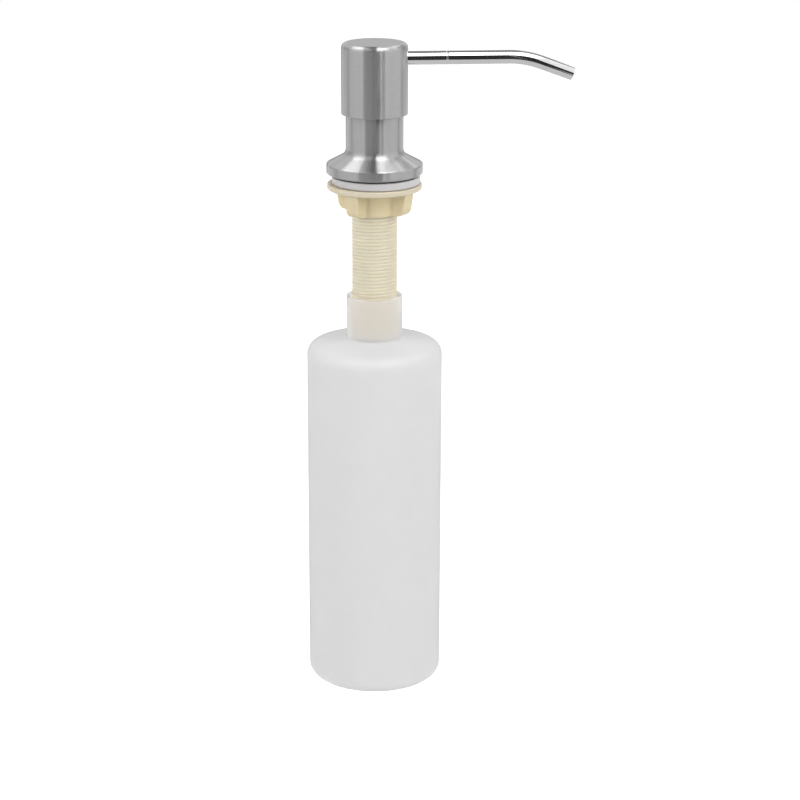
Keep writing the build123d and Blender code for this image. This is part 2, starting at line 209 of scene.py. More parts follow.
# %% Node helpers
def new_finish(name, color, roughness, **sockets):
    """A material with one Principled shader whose fixed values are set on its own sockets."""
    material = bpy.data.materials.new(name)
    material.use_nodes = True
    shader = material.node_tree.nodes["Principled BSDF"]
    shader.inputs["Base Color"].default_value = (*color, 1)
    shader.inputs["Roughness"].default_value = roughness
    for socket, value in sockets.items():
        shader.inputs[socket.replace("_", " ").title().replace("Ior", "IOR")].default_value = value
    return material, shader


def add_node(material, kind, links=(), **settings):
    """Adds a node. links holds (socket of the new node, output or value that feeds it) pairs."""
    node = material.node_tree.nodes.new(kind)
    for key, value in settings.items():
        setattr(node, key, value)
    for socket, source in links:
        if hasattr(source, "is_output"):
            material.node_tree.links.new(source, node.inputs[socket])
        else:
            node.inputs[socket].default_value = source
    return node


def drive(material, shader, socket, value):
    """Feeds one socket of the shader."""
    material.node_tree.links.new(value, shader.inputs[socket])


def number_math(material, operation, first, second):
    """Two numbers made one."""
    return add_node(material, "ShaderNodeMath", [(0, first), (1, second)], operation=operation).outputs[0]


def vector_math(material, operation, *vectors):
    """Vectors made one vector, or one number for a length."""
    node = add_node(material, "ShaderNodeVectorMath", list(enumerate(vectors)), operation=operation)
    return node.outputs["Value" if operation == "LENGTH" else "Vector"]


# %% Values over a surface
def object_point(material):
    """Where a point of the surface lies, in metres."""
    return add_node(material, "ShaderNodeTexCoord").outputs["Object"]


def across_axis(material, place):
    """The same point with its height taken out, so that its length is the distance from the Z axis."""
    return vector_math(material, "MULTIPLY", place, (1, 1, 0))


def height_of(material, place):
    """The height of a point."""
    return add_node(material, "ShaderNodeSeparateXYZ", [(0, place)]).outputs["Z"]


def ramp(material, value, start, end, low=0.0, high=1.0):
    """Maps a value from start to end onto low to high, and stays there beyond."""
    links = [("Value", value), ("From Min", start), ("From Max", end), ("To Min", low), ("To Max", high)]
    return add_node(material, "ShaderNodeMapRange", links).outputs["Result"]


def noise(material, point, scale, detail=3.0):
    """Cloudy values about 0.5, with features 1 / scale metres across."""
    links = [("Vector", point), ("Scale", scale), ("Detail", detail), ("Roughness", 0.55)]
    return add_node(material, "ShaderNodeTexNoise", links).outputs["Fac"]


def spread(material, value, low, high):
    """Maps the middle of the noise, 0.3 to 0.7, to a range."""
    return ramp(material, value, 0.3, 0.7, low, high)


def tint(material, shader, value, dark, light):
    """Base colour between two colours."""
    links = [(0, value), (6, (*dark, 1)), (7, (*light, 1))]
    mix = add_node(material, "ShaderNodeMix", links, data_type="RGBA")
    drive(material, shader, "Base Color", mix.outputs[2])


def bumped(material, shader, value, height):
    """Surface relief whose full depth is a height in metres."""
    bump = add_node(material, "ShaderNodeBump", [("Height", value), ("Distance", height), ("Strength", 1.0)])
    drive(material, shader, "Normal", bump.outputs["Normal"])


def grey(value):
    """One value for red, green and blue."""
    return (value, value, value)


# %% [markdown]
# ### Brushed steel
# The head and the base are turned and brushed on a lathe, so the fine lines run round the axis. Such lines blur a
# reflection up and down and leave it crisp sideways, which is why upright bands show on the real head. Real grooves
# would need millions of faces, so the shader's Anisotropic does the blur. It blurs along the tangent. The tangent
# runs round Z, so a rotation of a quarter turn makes the blur upright. The lines themselves are noise that changes
# quickly with height and radius and slowly with direction, and shallow upright waves, left by drawing the cup,
# break up the bands.

# %% Brushed steel
def lathe_point(material, turns_detail, line_scale):
    """A point for noise: the direction round Z times a small number, and height plus radius times a large one."""
    place = object_point(material)
    flat = across_axis(material, place)
    direction = vector_math(material, "NORMALIZE", flat)
    along = number_math(material, "ADD", height_of(material, place), vector_math(material, "LENGTH", flat))
    along = number_math(material, "MULTIPLY", along, line_scale)
    axis = add_node(material, "ShaderNodeCombineXYZ", [("Z", along)]).outputs[0]
    return vector_math(material, "MULTIPLY_ADD", direction, (turns_detail,) * 3, axis)


def turned_lines(material):
    """Fine lines round the axis, 0 to 1."""
    lines = noise(material, lathe_point(material, turns_detail=2.5, line_scale=2600), 1.0, detail=4.0)
    return spread(material, lines, 0, 1)


brushed_steel, shader = new_finish(
    "brushed_steel", grey(0.49), 0.3, metallic=1.0, anisotropic=1.0, anisotropic_rotation=0.25,
)
tint(brushed_steel, shader, turned_lines(brushed_steel), grey(0.475), grey(0.505))
patches = noise(brushed_steel, lathe_point(brushed_steel, turns_detail=5.0, line_scale=160), 1.0)
drive(brushed_steel, shader, "Roughness", spread(brushed_steel, patches, 0.28, 0.33))
waves = noise(brushed_steel, lathe_point(brushed_steel, turns_detail=12.0, line_scale=8), 1.0, detail=1.0)
bumped(brushed_steel, shader, waves, 0.02 * MM)
round_z = add_node(brushed_steel, "ShaderNodeTangent", direction_type="RADIAL", axis="Z")
drive(brushed_steel, shader, "Tangent", round_z.outputs["Tangent"])
print("brushed steel:", len(brushed_steel.node_tree.nodes), "nodes")

# %% [markdown]
# ### Satin and polished steel
# The flat top of the head shows no bands, so it is the same steel with the same lines, blurred evenly. The spout is
# a polished tube. Its reflections are sharp, with only faint draw lines along the tube: noise that is stretched
# along X by a Mapping node, which is simpler than a UV map and close enough on a tube that bends so little.

# %% Satin and polished steel
satin_steel, shader = new_finish("satin_steel", grey(0.47), 0.42, metallic=1.0)
tint(satin_steel, shader, turned_lines(satin_steel), grey(0.455), grey(0.485))

polished_steel, shader = new_finish("polished_steel", (0.78, 0.77, 0.77), 0.08, metallic=1.0)
stretch = add_node(
    polished_steel, "ShaderNodeMapping", [("Vector", object_point(polished_steel)), ("Scale", (40, 1500, 1500))],
).outputs[0]
draw_lines = noise(polished_steel, stretch, 1.0)
tint(polished_steel, shader, spread(polished_steel, draw_lines, 0, 1), (0.74, 0.73, 0.73), (0.82, 0.81, 0.81))
drive(polished_steel, shader, "Roughness", spread(polished_steel, draw_lines, 0.06, 0.08))
print("polished steel:", len(polished_steel.node_tree.nodes), "nodes")

# %% [markdown]
# ### Plastics and rubber
# The nut and the shank are cream plastics, a little waxy, so light goes a short way in. The thin rim of the nut's
# flange gets a paler colour: painted light, as if light shone through the thin plastic. The washer and the inner
# pump parts are white plastics, and the washer's colour is a darker grey: painted shade from the base above it. The
# bottle is milky: light passes, but scattered. A true volume inside it would be slow and grainy, so a share of rough
# transmission does it. All of them get a fine moulded grain, and most of them slow clouds of colour.

# %% Plastics and rubber
def clouds(material):
    """Slow changes about 8 mm wide."""
    return spread(material, noise(material, object_point(material), 120), 0, 1)


def painted_rim_light(material):
    """0 within 17 mm of the axis, 1 at the thin rim of the nut's flange, whose paler colour is painted light."""
    radius = vector_math(material, "LENGTH", across_axis(material, object_point(material)))
    return ramp(material, radius, 17 * MM, 19.5 * MM)


def moulded(name, dark, light, roughness, grain=0.012 * MM, share=clouds, **sockets):
    """Plastic with a fine grain, whose colour lies between two colours by a share."""
    material, shader = new_finish(name, light, roughness, **sockets)
    tint(material, shader, share(material), dark, light)
    fine = noise(material, object_point(material), 2200, detail=2.0)
    drive(material, shader, "Roughness", spread(material, fine, roughness - 0.05, roughness + 0.05))
    bumped(material, shader, fine, grain)
    return material


WAXY = {"subsurface_weight": 0.35, "subsurface_radius": (1.0, 0.75, 0.4), "subsurface_scale": 2.0 * MM}
MILKY = {"ior": 1.3, "grain": 0.006 * MM}
# The nut's colour turns paler towards the rim of its flange: painted light through the thin plastic.
nut_plastic = moulded("nut_plastic", (0.62, 0.53, 0.34), (0.57, 0.515, 0.40), 0.42, share=painted_rim_light, **WAXY)
shank_plastic = moulded("shank_plastic", (0.61, 0.56, 0.43), (0.65, 0.60, 0.47), 0.42, **WAXY)
# The washer is white plastic, but its colour is set to a darker grey: painted shade from the base above it.
white_washer = moulded("white_washer", (0.51, 0.50, 0.50), (0.54, 0.53, 0.53), 0.45)
pump_plastic = moulded("pump_plastic", (0.60, 0.60, 0.58), (0.63, 0.63, 0.61), 0.38)
black_rubber = moulded("black_rubber", grey(0.012), grey(0.03), 0.6)
bottle_plastic = moulded(
    "bottle_plastic", (0.78, 0.778, 0.787), (0.795, 0.793, 0.802), 0.5, transmission_weight=0.35, **MILKY,
)
spring_steel, shader = new_finish("spring_steel", grey(0.55), 0.25, metallic=1.0)
wire_marks = noise(spring_steel, object_point(spring_steel), 900)
drive(spring_steel, shader, "Roughness", spread(spring_steel, wire_marks, 0.18, 0.32))
print("finishes:", sorted(material.name for material in bpy.data.materials))

# %% [markdown]
# ## Head cap
# The cap is a steel cup over a moulded core. Its outline is spun round Z, with a rounded top edge and a thin
# rolled skirt. The spout leaves through a hole in its side. A Boolean could cut it, but leaves long thin faces that
# shade badly. So a window of faces is left out of the grid, and a ring of points fills the space between the
# window's border and the round hole. Every point of that ring lies on the cylinder: it is mixed in (y, z), and
# x = sqrt(R² - y²) puts it back on the wall.

# %% Head cap outline
CAP_WALL = 1.2 * MM
CAP_TOP = 1.5 * MM
CAP_EDGE = 2.0 * MM
SPOUT_R = 2.9 * MM
SPOUT_DROP = 6.6 * MM
WINDOW_HALF = 3.8 * MM
WINDOW_COLUMNS, WINDOW_LEVELS = 8, 9
cap_low, cap_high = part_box("head_cap")
cap_r, cap_bore_r = cap_high.x, cap_high.x - CAP_WALL
spout_z = cap_high.z - SPOUT_DROP
levels = spout_z + np.linspace(1, -1, WINDOW_LEVELS) * WINDOW_HALF

outline = rounded([
    (0, cap_high.z, 0),
    (cap_r, cap_high.z, CAP_EDGE),
    (cap_r, cap_low.z, 0.35 * MM),
    (cap_bore_r, cap_low.z, 0.2 * MM),
    (cap_bore_r, cap_high.z - CAP_TOP, 0.2 * MM),
    (0, cap_high.z - CAP_TOP, 0),
])
# Both walls get level rows for the window.
per_corner = len(outline) // 6
outline = np.vstack([
    outline[:2 * per_corner],
    np.column_stack([np.full(len(levels), cap_r), levels]),
    outline[2 * per_corner:4 * per_corner],
    np.column_stack([np.full(len(levels), cap_bore_r), levels[::-1]]),
    outline[4 * per_corner:],
])
cap_points = spun(outline)
cap_faces = grid_faces(*cap_points.shape[:2])
print("cap outline:", len(outline), "points, spout at", round(spout_z / MM, 1), "mm")

# %% Head cap with its spout hole
HOLE_MOUTH, HOLE_PLAY, HOLE_EDGE = 0.25 * MM, 0.08 * MM, 0.2 * MM
column = 2 * np.pi / AROUND
centres = cap_points.reshape(-1, 3)[cap_faces].mean(1)
direction = np.abs(np.arctan2(centres[:, 1], centres[:, 0]))
in_window = (np.abs(centres[:, 2] - spout_z) < WINDOW_HALF) & (direction < WINDOW_COLUMNS * column)

turn = np.arange(-WINDOW_COLUMNS, WINDOW_COLUMNS + 1) * column
border_turn = np.concatenate([
    turn, np.full(len(levels) - 2, turn[-1]), turn[::-1], np.full(len(levels) - 2, turn[0]),
])
border_z = np.concatenate([
    np.full(len(turn), levels[-1]), levels[-2:0:-1], np.full(len(turn), levels[0]), levels[1:-1],
])
# Eight rings lead from the border on the outer wall, over the hole's edge, to the border on the inner wall.
to_hole = np.array([0, 0.4, 0.8, 1, 1, 1, 0.5, 0])[:, None]
hole_r = SPOUT_R + np.repeat([HOLE_MOUTH, HOLE_PLAY], 4)[:, None]
wall_r = np.array([cap_r] * 4 + [cap_r - HOLE_EDGE] + [cap_bore_r] * 3)[:, None]
toward = np.arctan2(border_z - spout_z, cap_r * np.sin(border_turn))
ring_y = (1 - to_hole) * wall_r * np.sin(border_turn) + to_hole * hole_r * np.cos(toward)
ring_z = (1 - to_hole) * border_z + to_hole * (spout_z + hole_r * np.sin(toward))
ring_points = np.stack([np.sqrt(wall_r ** 2 - ring_y ** 2), ring_y, ring_z], axis=-1)
ring_faces = grid_faces(*ring_points.shape[:2], close_rows=False)
head_cap = add_piece(
    "head_cap_shell", [(cap_points, cap_faces[~in_window]), (ring_points, ring_faces)],
    "head", brushed_steel, ["head_cap"],
)
finish_above(head_cap, satin_steel, cap_high.z - MERGE)

# %% [markdown]
# ## Spout
# A thin tube leaves the cap level, then bends down. A bevelled curve could make it, but with closed or paper-thin
# ends. Here its surface is a circle carried along the path: outwards along the outer wall, round the cut end, and
# back along the bore, so that the tip is really open. A faint score line runs round it a quarter of the way out.

# %% Spout path
SPOUT_WALL = 0.5 * MM
BEND_R = 40.0 * MM
BEND = math.radians(20.0)
STRAIGHT_END = 55.5 * MM
NOSE = 14.2 * MM


def along_spout(distance, root_x):
    """Point and upward normal on the centre line, at a distance from the root: straight, then an arc, then
    straight."""
    straight = STRAIGHT_END - root_x
    bend = np.clip((distance - straight) / BEND_R, 0, BEND)
    level, nose = np.minimum(distance, straight), np.maximum(distance - straight - BEND_R * BEND, 0)
    x = root_x + level + BEND_R * np.sin(bend) + nose * np.cos(bend)
    z = spout_z - BEND_R * (1 - np.cos(bend)) - nose * np.sin(bend)
    return np.stack([x, 0 * x, z], axis=-1), np.stack([np.sin(bend), 0 * x, np.cos(bend)], axis=-1)


spout_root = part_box("spout_tube")[0].x
spout_length = STRAIGHT_END - spout_root + BEND_R * BEND + NOSE
print("spout length in mm:", round(spout_length / MM, 1))

# %% Spout
TUBE_SIDES, TUBE_RINGS = 64, 90
ROOT_ROUND, TIP_ROUND = 0.02 * MM, 0.12 * MM
SCORE_X, SCORE_DEPTH, SCORE_HALF = 30.0 * MM, 0.07 * MM, 0.3 * MM
bore_r = SPOUT_R - SPOUT_WALL
score = SCORE_X - spout_root
run = np.sort(np.concatenate([
    np.linspace(0, spout_length, TUBE_RINGS)[1:-1], score + np.array([-0.4, -0.2, 0, 0.2, 0.4]) * MM,
]))
depth = SCORE_DEPTH * np.maximum(1 - np.abs(run - score) / SCORE_HALF, 0)
tube_profile = rounded([
    (0, SPOUT_R, ROOT_ROUND), (spout_length, SPOUT_R, TIP_ROUND),
    (spout_length, bore_r, TIP_ROUND), (0, bore_r, ROOT_ROUND),
], steps=5)
per_corner = len(tube_profile) // 4
tube_profile = np.vstack([
    tube_profile[:per_corner],
    np.column_stack([run, SPOUT_R - depth]),
    tube_profile[per_corner:3 * per_corner],
    np.column_stack([run[::-1], np.full(len(run), bore_r)]),
    tube_profile[3 * per_corner:],
])
centre, up = along_spout(tube_profile[:, 0], spout_root)
turn = np.arange(TUBE_SIDES) * 2 * np.pi / TUBE_SIDES
side = np.array([0, 1, 0])
tube_points = centre[:, None] + tube_profile[:, 1, None, None] * (
    np.cos(turn)[None, :, None] * up[:, None] + np.sin(turn)[None, :, None] * side
)
add_piece(
    "spout_pipe", [(tube_points, grid_faces(*tube_points.shape[:2]))],
    "head", polished_steel, ["spout_tube"],
)

# %% [markdown]
# ## Base, seal and washer
# These are plain turned shapes: a sleeve that flares into a rimmed foot, the black seal in its groove, and the
# white washer that presses on the deck from below. Each could be a Screw modifier on a drawn outline. The spun grid
# does the same and rounds the edges as well. The washer is loose on the shank and hangs a little to one side.

# %% Base flange
SLEEVE_R = 12.0 * MM
WELL_R, WELL_DEPTH = 10.6 * MM, 11.5 * MM
SHANK_SEAT_R = 9.55 * MM
FOOT_EDGE = 0.4 * MM
RIM_H, FLARE_H = 4.1 * MM, 4.4 * MM
GROOVE_WIDTH, SEAL_PLAY = 4.4 * MM, 0.05 * MM
base_low, base_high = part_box("base_flange")
seal_low, seal_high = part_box("deck_gasket")
rim_r, rim_top_z = base_high.x, base_low.z + RIM_H
well_floor_z = base_high.z - WELL_DEPTH
groove_out = seal_high.x + SEAL_PLAY
groove_in = groove_out - GROOVE_WIDTH
add_spun("base_sleeve", [
    (SHANK_SEAT_R, base_low.z, 0.2 * MM), (groove_in, base_low.z, 0), (groove_in, seal_high.z, 0),
    (groove_out, seal_high.z, 0), (groove_out, base_low.z, 0.1 * MM), (rim_r - FOOT_EDGE, base_low.z, 0.15 * MM),
    (rim_r, base_low.z + FOOT_EDGE, 0.25 * MM), (rim_r, rim_top_z, 0.8 * MM),
    (SLEEVE_R, rim_top_z + FLARE_H, 3.4 * MM), (SLEEVE_R, base_high.z, 0.4 * MM),
    (WELL_R, base_high.z, 0.3 * MM), (WELL_R, well_floor_z, 0.2 * MM), (SHANK_SEAT_R, well_floor_z, 0.2 * MM),
], "mount", brushed_steel, ["base_flange"])

# %% Seal and washer
seal_in = groove_in + SEAL_PLAY
add_spun("deck_seal", [
    (seal_in, seal_low.z, 0.3 * MM), (seal_high.x, seal_low.z, 0.35 * MM),
    (seal_high.x, seal_high.z, 0.1 * MM), (seal_in, seal_high.z, 0.1 * MM),
], "mount", black_rubber, ["deck_gasket"])

WASHER_BORE_R = 10.4 * MM
washer_low, washer_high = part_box("clamp_washer")
washer_r, washer_x = (washer_high.x - washer_low.x) / 2, (washer_high.x + washer_low.x) / 2
add_spun("deck_washer", [
    (WASHER_BORE_R, washer_low.z, 0.2 * MM), (washer_r, washer_low.z, 0.5 * MM),
    (washer_r, washer_high.z, 0.5 * MM), (WASHER_BORE_R, washer_high.z, 0.2 * MM),
], "washer", white_washer, ["clamp_washer"], axis_x=washer_x)

# %% [markdown]
# ## Wing nut
# A round flange on a hub with four wings. A union of boxes and cylinders could make it, but its inner corners would
# stay sharp. Here the nut below the flange is a stack of outlines: each has the hub's circle and the wings' square
# ends with rounded corners, and the wings grow shorter towards the foot. Above, the outlines become the flange's
# circle. Every outline has the same number of points in nearly the same directions, so the stack is one closed grid.

# %% Outline of the wings
HUB_R = 11.4 * MM
WING_HALF = 3.2 * MM
WING_TURN = math.radians(-38.0)
ROOT_FILLET, TIP_FILLET, HUB_FILLET = 0.8 * MM, 0.7 * MM, 0.5 * MM


def wing_outline(tip_r, inset):
    """Hub circle with four square-ended wings, drawn once for the wing along +X and turned three times.
    inset moves every side inwards."""
    hub, half, tip = HUB_R - inset, WING_HALF - inset, tip_r - inset
    root = math.sqrt(hub ** 2 - half ** 2)
    gap = np.linspace(math.asin(half / hub), np.pi / 2 - math.asin(half / hub), 7)[1:-1]
    wing = [(root, -half, ROOT_FILLET), (tip, -half, TIP_FILLET), (tip, half, TIP_FILLET), (root, half, ROOT_FILLET)]
    quarter = np.array(wing + [(hub * math.cos(a), hub * math.sin(a), HUB_FILLET) for a in gap])
    x, y, fillet = quarter.T
    turned = [
        np.column_stack([x * np.cos(a) - y * np.sin(a), x * np.sin(a) + y * np.cos(a), fillet])
        for a in WING_TURN + np.arange(4) * np.pi / 2
    ]
    return rounded(np.vstack(turned), steps=5, guard=0.1)


# %% Wing nut
WING_TOP_R, WING_FOOT_R, WING_ROUND = 17.8 * MM, 16.2 * MM, 3.0 * MM
NUT_FLANGE_H, NUT_FOOT_EDGE = 2.3 * MM, 0.5 * MM
THREAD_BORE_R = 9.8 * MM
FLANGE_STEPS = 6
nut_low, nut_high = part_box("mounting_nut")
nut_flange_r, nut_flange_z = nut_high.x, nut_high.z - NUT_FLANGE_H
wing_h = nut_flange_z - nut_low.z
# Heights of the outlines: the rounded edge of the foot, the rounded ends of the wings, and the straight rest.
arc = np.linspace(0, np.pi / 2, 6)
rise = np.concatenate([
    NUT_FOOT_EDGE * (1 - np.cos(arc)), np.linspace(0.7 * MM, WING_ROUND, 5), np.linspace(WING_ROUND, wing_h, 6)[1:],
])
inset = np.concatenate([NUT_FOOT_EDGE * (1 - np.sin(arc)), np.zeros(len(rise) - len(arc))])
taper = WING_FOOT_R + (WING_TOP_R - WING_FOOT_R) * rise / wing_h
under = np.maximum(WING_ROUND - rise, 0)
tips = taper - (WING_ROUND - np.sqrt(WING_ROUND ** 2 - under ** 2))
stack = np.stack([wing_outline(t, i) for t, i in zip(tips, inset)])
direction = np.arctan2(stack[-1][:, 1], stack[-1][:, 0])
circle = np.column_stack([np.cos(direction), np.sin(direction)])
# The first corner of the flange lies inside the hub, so its points are left out.
flange_edge = rounded([
    (THREAD_BORE_R, nut_flange_z, 0), (nut_flange_r, nut_flange_z, 0.55 * MM),
    (nut_flange_r, nut_high.z, 0.55 * MM), (THREAD_BORE_R, nut_high.z, 0.3 * MM),
], steps=FLANGE_STEPS)[FLANGE_STEPS + 2:]
nut_rings = [np.column_stack([xy, np.full(len(xy), z)]) for xy, z in zip(stack, nut_low.z + rise)]
nut_rings += [np.column_stack([r * circle, np.full(len(circle), z)]) for r, z in flange_edge]
nut_rings += [np.column_stack([THREAD_BORE_R * circle, np.full(len(circle), nut_low.z)])]
nut_points = np.stack(nut_rings)
add_piece(
    "wing_nut", [(nut_points, grid_faces(*nut_points.shape[:2]))],
    "nut", nut_plastic, ["mounting_nut"],
)

# %% [markdown]
# ## Threaded shank
# The CAD shank is plain at the thread's outer size, and the thread is made here as real relief. A tooth swept along
# a helix would need its ends joined to the plain tube. On a grid of direction and height they join by themselves:
# the radius drops from the wide crest into a narrow groove. The groove's depth follows the top of a cosine of
# height / pitch - direction / full turn, a right-hand helix, and fades out at both ends.

# %% Thread
PITCH = 1.5 * MM
THREAD_DEPTH = 0.3 * MM
GROOVE_START = 0.3
SHANK_R, SHANK_BORE_R = 9.5 * MM, 7.3 * MM
SHANK_SIDES, STEPS_PER_PITCH = 96, 12
THREAD_TOP_Z, THREAD_LEAD = 3.0 * MM, 0.6 * MM
shank_low, shank_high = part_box("threaded_shank")
thread_z = np.arange(shank_low.z + THREAD_LEAD, THREAD_TOP_Z, PITCH / STEPS_PER_PITCH)
fade = np.clip(np.minimum(thread_z - thread_z[0], thread_z[-1] - thread_z) / PITCH, 0, 1)
turn = np.arange(SHANK_SIDES) * 2 * np.pi / SHANK_SIDES
phase = thread_z[:, None] / PITCH - turn / (2 * np.pi)
groove = np.clip((np.cos(2 * np.pi * phase) - GROOVE_START) / (1 - GROOVE_START), 0, 1)
thread_r = SHANK_R - THREAD_DEPTH * groove * fade[:, None]
thread_points = np.stack([
    thread_r * np.cos(turn), thread_r * np.sin(turn), thread_z[:, None] + 0 * turn,
], axis=-1)
print("turns of thread:", round((thread_z[-1] - thread_z[0]) / PITCH, 1))

# %% Threaded shank
COLLAR_H, LEAD_IN = 2.0 * MM, 1.0 * MM
collar_z = shank_high.z - COLLAR_H
# The first and the last guard point would lie across the thread, so they are left out.
rest_of_shank = spun(rounded([
    (SHANK_R, THREAD_TOP_Z + THREAD_LEAD, 0.2 * MM), (SHANK_R, collar_z, 0), (shank_high.x, collar_z, 0.2 * MM),
    (shank_high.x, shank_high.z, 0.3 * MM), (SHANK_BORE_R, shank_high.z, 0.3 * MM),
    (SHANK_BORE_R, shank_low.z, 0.3 * MM), (SHANK_R - LEAD_IN, shank_low.z, 0.2 * MM),
]), SHANK_SIDES)[1:-1]
shank_points = np.concatenate([thread_points, rest_of_shank])
add_piece(
    "shank_thread", [(shank_points, grid_faces(*shank_points.shape[:2]))],
    "mount", shank_plastic, ["threaded_shank"],
)

# %% [markdown]
# ## Bottle
# A blown bottle has soft corners everywhere: the rim of the neck, the root of the neck, the shoulder and the
# heel. The wall needs its real thickness, because light passes through the milky plastic. Solidify could add it to
# a thin shell, but the neck is thicker than the body, so the outline runs up the outside and back down the inside.

# %% Bottle
BOTTLE_WALL = 1.2 * MM
NECK_R, NECK_BORE_R, NECK_H = 11.9 * MM, 9.8 * MM, 18.5 * MM
SHOULDER_DROP = 3.2 * MM
FOOT_RING, PUSH_UP = 10.5 * MM, 1.8 * MM
bottle_low, bottle_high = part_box("bottle")
bottle_r = bottle_high.x
neck_foot_z = bottle_high.z - NECK_H
shoulder_z = neck_foot_z - SHOULDER_DROP
side_r, floor_z = bottle_r - BOTTLE_WALL, bottle_low.z + BOTTLE_WALL
ring_r = bottle_r - FOOT_RING
bottle = add_spun("soap_bottle", [
    (0, bottle_low.z + PUSH_UP, 0), (ring_r, bottle_low.z, 3.0 * MM), (bottle_r, bottle_low.z, 4.5 * MM),
    (bottle_r, shoulder_z, 5.0 * MM), (NECK_R, neck_foot_z, 1.0 * MM), (NECK_R, bottle_high.z, 0.5 * MM),
    (NECK_BORE_R, bottle_high.z, 0.5 * MM), (NECK_BORE_R, neck_foot_z - BOTTLE_WALL, 1.0 * MM),
    (side_r, shoulder_z - BOTTLE_WALL, 3.8 * MM), (side_r, floor_z, 3.3 * MM), (ring_r, floor_z, 3.0 * MM),
    (0, floor_z + PUSH_UP, 0),
], "bottle", bottle_plastic, ["bottle"])

# %% [markdown]
# ### See-through neck
# The neck is the same milky plastic, but it passes more light, so the cream shank close behind it shows through. It
# could be a piece of its own, but a bottle is blown as one, so the faces above the neck's foot get a second finish.
# Its colour is white at the foot and a warm grey from 8 mm up: painted shade of the shank behind the neck.

# %% See-through neck
def painted_neck_shade(material):
    """The share of painted shade on the neck: 0 at its foot, 1 from 8 mm above it."""
    return ramp(material, height_of(material, object_point(material)), neck_foot_z, neck_foot_z + 8 * MM)


# The warm grey above the neck's foot is painted shade of the cream shank behind it.
neck_plastic = moulded(
    "neck_plastic", grey(1.0), (0.90, 0.88, 0.86), 0.5, share=painted_neck_shade, transmission_weight=0.75, **MILKY,
)
finish_above(bottle, neck_plastic, neck_foot_z)

# %% [markdown]
# ## Return spring
# The spring pushes the head up again. Its wire is a small circle carried along a helix with a closed coil at each
# end, which the Screw modifier couldn't give, since its pitch is the same all along.

# %% Return spring
WIRE_R, COIL_R = 0.45 * MM, 4.25 * MM
OPEN_COILS, CLOSED_PITCH = 5, 1.4 * MM
STEPS_PER_COIL, WIRE_SIDES = 48, 10


def joint_end(name):
    """Upper end of a joint's range, in metres."""
    return next(joint for joint in frame["joints"] if joint["name"] == name)["range_m"][1]


spring_low, spring_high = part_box("return_spring")
spring_length = spring_high.z - spring_low.z
open_pitch = (spring_length - 2 * WIRE_R - 2 * CLOSED_PITCH) / OPEN_COILS
turns = np.linspace(0, OPEN_COILS + 2, STEPS_PER_COIL * (OPEN_COILS + 2) + 1)
opened = np.clip(turns - 1, 0, OPEN_COILS)
wire_z = spring_low.z + WIRE_R + CLOSED_PITCH * (turns - opened) + open_pitch * opened
angle = 2 * np.pi * turns
outward = np.column_stack([np.cos(angle), np.sin(angle), 0 * angle])
section = np.arange(WIRE_SIDES) * 2 * np.pi / WIRE_SIDES
wire_points = (COIL_R * outward + np.column_stack([0 * angle, 0 * angle, wire_z]))[:, None] + WIRE_R * (
    np.cos(section)[None, :, None] * outward[:, None] + np.sin(section)[None, :, None] * np.array([0, 0, 1])
)
ends = wire_points.mean(1, keepdims=True)
wire_points = np.concatenate([
    np.repeat(ends[:1], WIRE_SIDES, axis=1), wire_points, np.repeat(ends[-1:], WIRE_SIDES, axis=1),
])
spring = add_piece(
    "wound_spring", [(wire_points, grid_faces(*wire_points.shape[:2], close_rows=False))],
    "pump", spring_steel, ["return_spring"],
)
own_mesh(spring)

# %% [markdown]
# ## Inner pump parts
# What hides inside the head and the shank could be made anew as well. It keeps its CAD shape, because those shapes
# are right and nobody sees them up close, and gets a finish.

# %% Inner pump parts
inner_finishes = {
    pump_plastic: ["head_insert", "pump_housing", "guide_collar", "pump_stem", "piston", "piston_retainer",
                   "ball_retainer", "dip_tube"],
    black_rubber: ["spout_seal", "housing_gasket", "stem_wiper"],
    spring_steel: ["inlet_ball", "outlet_ball"],
}
for finish, nodes in inner_finishes.items():
    for node in nodes:
        materials = frame["nodes"][node].data.materials
        materials.clear()
        materials.append(finish)
print("inner parts with finishes:", sum(map(len, inner_finishes.values())))

# %% [markdown]
# ## Floor and world
# A pale floor lies below the lowest place that the dropped bottle reaches. The world is white wherever the camera, a
# reflection or the milky plastic looks at it, and dimmer where it lights the object. More light could make the
# background white too, but it would bleach the object, so Light Path tells the rays apart.

# %% Floor
FLOOR_SIDE, FLOOR_GAP = 6.0, 5 * MM
FLOOR_GLOW = 0.6


def seen_rays(material):
    """1 for camera, glossy and transmission rays, 0 for the rays that carry light between surfaces."""
    path = add_node(material, "ShaderNodeLightPath").outputs
    seen = number_math(material, "MAXIMUM", path["Is Camera Ray"], path["Is Glossy Ray"])
    return number_math(material, "MAXIMUM", seen, path["Is Transmission Ray"])


floor_mesh = bpy.data.meshes.new("floor")
half = FLOOR_SIDE / 2
floor_mesh.from_pydata(
    [(-half, -half, 0), (half, -half, 0), (half, half, 0), (-half, half, 0)], [], [(0, 1, 2, 3)],
)
floor = bpy.data.objects.new("floor", floor_mesh)
floor.location.z = bottle_low.z - joint_end("bottle_drop") - FLOOR_GAP
bpy.context.scene.collection.objects.link(floor)
pale_floor, shader = new_finish("pale_floor", grey(0.8), 0.9, specular_ior_level=0.0)
shader.inputs["Emission Color"].default_value = (1, 1, 1, 1)
glow = number_math(pale_floor, "MULTIPLY", seen_rays(pale_floor), FLOOR_GLOW)
drive(pale_floor, shader, "Emission Strength", glow)
floor_mesh.materials.append(pale_floor)
print("floor at", round(floor.location.z, 3))

